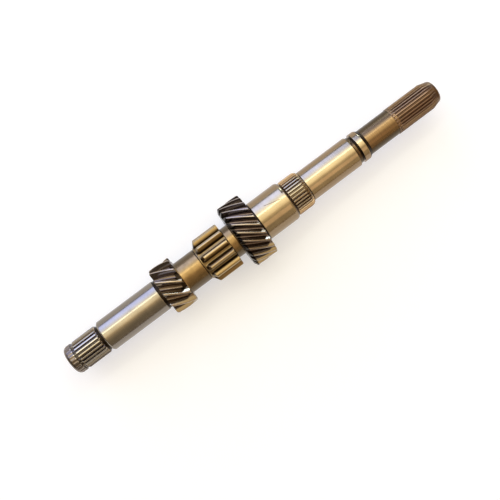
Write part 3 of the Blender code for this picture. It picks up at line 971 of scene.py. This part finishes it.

# %% [markdown]
# ## Finish of the body's stretches
# The body is one mesh, so each stretch takes its finish by the place of its faces along the axis.
# Grooves, and what lies hidden under teeth, have none of their own and take a near-black painted shade.
# Fine rings and the collar's slope get that painted shade last, and rounded and chamfered edges get a
# dark brown painted shade.

# %% Give each stretch its finish
STRETCH_FINISH = {
    "rear_journal": "rear_ground",
    "forged": "forged_satin",
    "spur": "forged_satin",
    "neck": "forged_satin",
    "sleeve_journal": "sleeve_ground",
    "long_journal": "clutch_ground",
    "circlip_groove": "brown_shade",
    "collar": "clutch_ground",
    "thin_neck": "browned_neck",
    "clutch_spline": "browned_neck",
}
# Painted shade: fine rings and the collar's slope take the near-black groove shade.
SHADED_RINGS = (
    (SPUR_START - RING_WIDTH * 1.1, SPUR_START),
    (start["sleeve_journal"], start["sleeve_journal"] + RING_WIDTH * 1.1),
    (end["circlip_groove"] - RING_WIDTH, end["circlip_groove"]),
    (end["collar"] - COLLAR_SLOPE * 0.95, end["collar"] + SOFT_EDGE),
)
# Painted shade: rounded and chamfered edges take the dark brown, so they don't catch light.
SHADED_EDGES = (
    (end["sleeve_journal"] - SLEEVE_ROUND * 0.35, end["sleeve_journal"]),
    (end["long_journal"] - LONG_JOURNAL_CHAMFER - FINE_EDGE, end["long_journal"]),
)


def paint_body(body):
    order = [finish.name for finish in finishes]
    for finish in finishes:
        body.data.materials.append(finish)
    for face in body.data.polygons:
        place = face.center.x
        for stretch in LENGTHS:
            if start[stretch] <= place <= end[stretch]:
                face.material_index = order.index(STRETCH_FINISH.get(stretch, "groove_shade"))
        # Painted shade goes over fine rings and the collar's slope, then dark brown over edges.
        if any(near <= place <= far for near, far in SHADED_RINGS):
            face.material_index = order.index("groove_shade")
        if any(near <= place <= far for near, far in SHADED_EDGES):
            face.material_index = order.index("brown_shade")


paint_body(shaft_body)
print("body has", len(shaft_body.data.materials), "finishes")

# %% [markdown]
# ## Finish of the teeth
# Teeth are bright on their lands, where they were ground or have run, and dark in the gaps, partly
# from oil and partly as painted shade. One material shows both: the distance from the axis tells how
# far a point is up the tooth.

# %% Tooth finish
FLANK_RISE = (0.12, 0.45)
LAND_RISE = (0.93, 0.98)
CORNER_RISE = (0.02, 0.08)
STAIN_SHARE = 0.7
TOOTH_RELIEF = 0.000005


def up_tooth(tree, distance, toothed, rise):
    """A smooth step between two heights up a tooth, given as shares of its depth."""
    depth = toothed["tip"] - toothed["root"]
    low, high = rise
    return ramp(tree, distance, toothed["root"] + depth * low, toothed["root"] + depth * high)


def tooth_finish(name, toothed, land, flank, gap, roughness, flank_rise=FLANK_RISE, corner=None,
                 sides=None, zones=()):
    """Bright lands; flanks and gaps darkened by oil and painted shade; painted shade on the sides; end
    zones.
    """
    material, tree, shader = new_finish(name, roughness)
    distance = axis_distance(tree)
    stain = stretched_noise(tree, along=220, across=320, detail=3)
    grain = stretched_noise(tree, along=1600, across=900, detail=2)
    # The gap colour is partly oil and partly painted shade, mottled by a stain.
    gap_stain_and_shade = mix_colours(tree, stain, gap, tuple(value * STAIN_SHARE for value in gap))
    if corner:
        up_corner = up_tooth(tree, distance, toothed, CORNER_RISE)
        gap_stain_and_shade = mix_colours(tree, up_corner, gap_stain_and_shade, corner)
    side = mix_colours(tree, up_tooth(tree, distance, toothed, flank_rise), gap_stain_and_shade, flank)
    colour = mix_colours(tree, up_tooth(tree, distance, toothed, LAND_RISE), side, land)
    # Painted shade: low on the sides an even colour replaces the teeth.
    if sides:
        colour = painted_side_shade(tree, toothed["root"], colour, sides)
    for near, far, zone_colour in zones:
        in_zone = ramp(tree, place_parts(tree)["X"], near, far)
        colour = mix_colours(tree, in_zone, colour, zone_colour)
    dress(tree, shader, colour, grain, TOOTH_RELIEF)
    return material


print("a land takes the top", round((1 - LAND_RISE[0]) * 100), "percent of a tooth")

# %% [markdown]
# ## Gear teeth
# A gear that drives in one direction wears on one side of its teeth. That side is polished steel, and
# the other is darker, partly from its brown film and partly as painted shade, so the faces that point
# round the shaft on the driving side get a finish of their own. The steep bevel of the large gear is
# painted near black, as painted shade.

# %% Gear finishes
GEAR_1_LAND = (0.40, 0.32, 0.23)
GEAR_2_LAND = (0.345, 0.285, 0.225)
GEAR_2_GAP = (0.16, 0.122, 0.105)
POLISHED = (0.54, 0.50, 0.42)
POLISHED_RISE = (0.30, 0.62)
# Painted shade: the steep bevel of the large gear turns near black.
BEVEL_SHADE = (0.035, 0.03, 0.025)
BEVEL_SHADE_START = start["gear_2"] + 0.0022
BEVEL_SHADE_ZONE = (BEVEL_SHADE_START + 0.0010, BEVEL_SHADE_START, BEVEL_SHADE)
DRIVE_SIDE = 0.55


def polish_drive_sides(gear, finish):
    """Give a second finish to the side of each tooth that has pushed the other gear."""
    gear.data.materials.append(finish)
    for face in gear.data.polygons:
        radius = math.hypot(face.center.y, face.center.z)
        around = (face.normal.y * face.center.z - face.normal.z * face.center.y) / radius
        if around > DRIVE_SIDE:
            face.material_index = 1


# Dark flanks and gaps are partly oil and partly painted shade.
gear_1.data.materials.append(tooth_finish(
    "gear_1_steel", GEAR_1, land=GEAR_1_LAND, flank=(0.19, 0.15, 0.11), gap=(0.18, 0.135, 0.10),
    roughness=0.20))
gear_2.data.materials.append(tooth_finish(
    "gear_2_steel", GEAR_2, land=GEAR_2_LAND, flank=(0.12, 0.092, 0.075), gap=GEAR_2_GAP,
    roughness=0.20, zones=(BEVEL_SHADE_ZONE,)))
polish_drive_sides(gear_1, tooth_finish(
    "gear_1_drive_side", GEAR_1, land=GEAR_1_LAND, flank=POLISHED, gap=(0.20, 0.15, 0.11),
    roughness=0.18, flank_rise=POLISHED_RISE))
polish_drive_sides(gear_2, tooth_finish(
    "gear_2_drive_side", GEAR_2, land=GEAR_2_LAND, flank=POLISHED, gap=GEAR_2_GAP,
    roughness=0.18, flank_rise=POLISHED_RISE, zones=(BEVEL_SHADE_ZONE,)))
spur.data.materials.append(tooth_finish(
    "spur_steel", SPUR, land=(0.42, 0.32, 0.175), flank=(0.29, 0.20, 0.09), gap=(0.27, 0.19, 0.09),
    roughness=0.28, flank_rise=(0.30, 0.75), corner=(0.06, 0.04, 0.02)))
drive_faces = sum(face.material_index for face in gear_1.data.polygons)
print("first gear has", drive_faces, "faces on its driving sides")

# %% [markdown]
# ## Spline teeth
# The lands of the splines are wiped bright by the hubs, and the gaps are dark, partly from oil and
# partly as painted shade. Low on the sides an even painted shade hides the teeth. The end ring and the
# run-out of the rear spline are evenly worn.

# %% Spline finishes
RING_END = start["rear_spline"] + 0.0058
RING_FADE = 0.0008
RUN_OUT_START = end["rear_spline"] - REAR_RUN_OUT
RUN_OUT_FADE = 0.0004

# Each sides colour is an even painted shade low on the sides of the spline.
rear.data.materials.append(tooth_finish(
    "rear_spline_steel", REAR_SPLINE, land=(0.50, 0.45, 0.37), flank=(0.13, 0.11, 0.09),
    gap=(0.09, 0.075, 0.06), roughness=0.24, sides=(0.165, 0.143, 0.12),
    zones=((RING_END + RING_FADE, RING_END, (0.20, 0.165, 0.135)),
           (RUN_OUT_START, RUN_OUT_START + RUN_OUT_FADE, (0.22, 0.185, 0.155)))))
hub.data.materials.append(tooth_finish(
    "hub_spline_steel", HUB_SPLINE, land=(0.44, 0.375, 0.27), flank=(0.26, 0.195, 0.125),
    gap=(0.20, 0.15, 0.095), roughness=0.24, sides=(0.40, 0.285, 0.17)))
clutch.data.materials.append(tooth_finish(
    "clutch_spline_steel", CLUTCH_SPLINE, land=(0.275, 0.18, 0.12), flank=(0.17, 0.105, 0.065),
    gap=(0.14, 0.085, 0.052), roughness=0.30, sides=(0.17, 0.11, 0.065)))
print("spline finishes:", [spline.data.materials[0].name for spline in (rear, hub, clutch)])

# %% [markdown]
# ## One part
# All pieces are cut from one forging, so they ride on the same body and together stand for its solid.

# %% Ride and replace
pieces = [shaft_body, gear_1, gear_2, spur, rear, hub, clutch]
for piece in pieces:
    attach(piece, "root")
    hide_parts("countershaft")
print(len(pieces), "pieces stand for the shaft")

# %% [markdown]
# ## Floor
# The shaft lies on a plain pale sheet. The sheet is matt, and a faint glow brings it up to white for
# the camera, for reflections and for what is seen through glass. The glow lights nothing, so the shaft
# keeps its own light and its shadow stays on the sheet.

# %% Floor
FLOOR_SIZE = 8.0
FLOOR_GLOW = 0.45
FLOOR_COLOUR = (0.60, 0.62, 0.66)


def make_floor():
    """A pale floor with a faint glow that is only seen."""
    shape = bmesh.new()
    bmesh.ops.create_grid(shape, x_segments=1, y_segments=1, size=FLOOR_SIZE / 2)
    bmesh.ops.translate(shape, verts=shape.verts, vec=(0, 0, cad_low.z))
    floor = finish_mesh(shape, "floor")
    material, tree, shader = new_finish("pale_floor", 0.9)
    set_values(shader, Metallic=0.0, Base_Color=(*FLOOR_COLOUR, 1), Specular_IOR_Level=0.0,
               Emission_Color=(1, 1, 1, 1))
    seen = add(tree, "ShaderNodeLightPath")
    shown = seen.outputs["Is Camera Ray"]
    for ray in ("Is Glossy Ray", "Is Transmission Ray"):
        either = add(tree, "ShaderNodeMath", operation="MAXIMUM")
        tree.links.new(shown, either.inputs[0])
        tree.links.new(seen.outputs[ray], either.inputs[1])
        shown = either.outputs["Value"]
    tree.links.new(product(tree, shown, FLOOR_GLOW), shader.inputs["Emission Strength"])
    floor.data.materials.append(material)


make_floor()
print("floor at", round(cad_low.z, 4))

# %% [markdown]
# ## The room
# Ground metal has little colour of its own: it shows the room. A round shaft sees the room as bands
# along its length, so the room is a ramp of colours by the angle round the axis. It goes from a cool
# window on the far side over warm white overhead to dim golden walls on the near side. Past the window
# the far wall is dark, the near wall is lighter there, and the two ends are dark and golden.

# %% Room
# The bands are given by degrees from straight up, with minus towards the far side.
ROOM_BANDS = {
    -90: (0.32, 0.31, 0.33),
    -84: (0.60, 0.66, 0.95),
    -75: (1.42, 1.66, 2.95),
    -58: (1.55, 1.80, 3.05),
    -42: (1.65, 1.75, 2.15),
    -28: (1.85, 1.80, 1.50),
    -10: (1.90, 1.68, 1.20),
    3: (1.62, 1.36, 0.94),
    13: (0.88, 0.68, 0.42),
    26: (0.50, 0.39, 0.26),
    40: (0.33, 0.27, 0.185),
    54: (0.27, 0.22, 0.16),
    80: (0.28, 0.23, 0.175),
    90: (0.34, 0.28, 0.22),
}
FAR_WALL = (0.10, 0.075, 0.05)
NEAR_WALL = (0.50, 0.375, 0.235)
DARK_END = (0.16, 0.135, 0.11)
WARM_END = (0.70, 0.50, 0.25)
PAST_WINDOW = (0.225, 0.240)
WINDOW_SIDE = (0.60, 0.76)
TOWARDS_CLUTCH = (-0.08, 0.22)
NEAR_SIDE = (-0.35, -0.62)
REAR_END = (-0.40, -0.80)
CLUTCH_END = (0.50, 0.80)
ABOVE_HORIZON = (0.05, 0.14)


def band_colour(tree, parts):
    """The colour of the room by the angle round the shaft's axis."""
    angle = add(tree, "ShaderNodeMath", operation="ARCTAN2")
    share = add(tree, "ShaderNodeMapRange", From_Min=math.pi / 2, From_Max=-math.pi / 2)
    bands = add(tree, "ShaderNodeValToRGB")
    stops = bands.color_ramp
    stops.interpolation = "EASE"
    for place in list(ROOM_BANDS)[1:-1]:
        stops.elements.new((place + 90) / 180)
    for stop, (place, colour) in zip(stops.elements, ROOM_BANDS.items()):
        stop.position = (place + 90) / 180
        stop.color = (*colour, 1)
    tree.links.new(parts["Y"], angle.inputs[0])
    tree.links.new(parts["Z"], angle.inputs[1])
    tree.links.new(angle.outputs["Value"], share.inputs["Value"])
    tree.links.new(share.outputs["Result"], bands.inputs["Fac"])
    return bands.outputs["Color"]


def make_world():
    """A room in bands along the shaft, dark beyond its rear end and golden beyond the other."""
    world = bpy.data.worlds.new("warm_room")
    world.use_nodes = True
    tree = world.node_tree
    parts = place_parts(tree, "Generated")
    along = parts["X"]
    far_wall = product(tree, ramp(tree, along, *PAST_WINDOW), ramp(tree, parts["Y"], *WINDOW_SIDE))
    near_wall = product(tree, ramp(tree, along, *TOWARDS_CLUTCH), ramp(tree, parts["Y"], *NEAR_SIDE))
    golden = product(tree, ramp(tree, along, *CLUTCH_END), ramp(tree, parts["Z"], *ABOVE_HORIZON))
    whole = mix_colours(tree, far_wall, band_colour(tree, parts), FAR_WALL)
    whole = mix_colours(tree, near_wall, whole, NEAR_WALL)
    whole = mix_colours(tree, ramp(tree, along, *REAR_END), whole, DARK_END)
    whole = mix_colours(tree, golden, whole, WARM_END)
    tree.links.new(whole, tree.nodes["Background"].inputs["Color"])
    bpy.context.scene.world = world


make_world()
print("the room is made of", len(ROOM_BANDS), "colours")

# %% [markdown]
# ## Lamps
# Soft lamps add what a room in bands can't: the shadow on the floor and the finer glints. A strip
# overhead draws a bright line along the shaft, a low cool window shows in the polished sides of the
# gear teeth, and a warm card fills the near side.

# %% Lamps
def panel(name, direction, distance, size, radiance, colour):
    """A soft panel that faces the shaft from a direction, as bright as its radiance."""
    light = bpy.data.lights.new(name, "AREA")
    light.shape = "RECTANGLE"
    light.size, light.size_y = size
    light.energy = radiance * math.pi * size[0] * size[1]
    light.color = colour
    lamp = bpy.data.objects.new(name, light)
    away = Vector(direction).normalized()
    lamp.matrix_world = facing(away, Vector(AXIS))
    lamp.location = away * distance
    lamp.visible_camera = False
    bpy.context.scene.collection.objects.link(lamp)


panel("strip_lamp", direction=(0.0, 0.43, 0.90), distance=1.1, size=(1.3, 0.11), radiance=2.8,
      colour=(1.0, 0.95, 0.82))
panel("side_window", direction=(0.65, 0.75, 0.11), distance=1.2, size=(0.62, 0.34), radiance=5.5,
      colour=(0.72, 0.90, 1.0))
panel("warm_card", direction=(0.20, -0.60, 0.78), distance=1.1, size=(0.50, 0.46), radiance=0.50,
      colour=(1.0, 0.68, 0.44))
bpy.context.scene.view_settings.view_transform = "Standard"
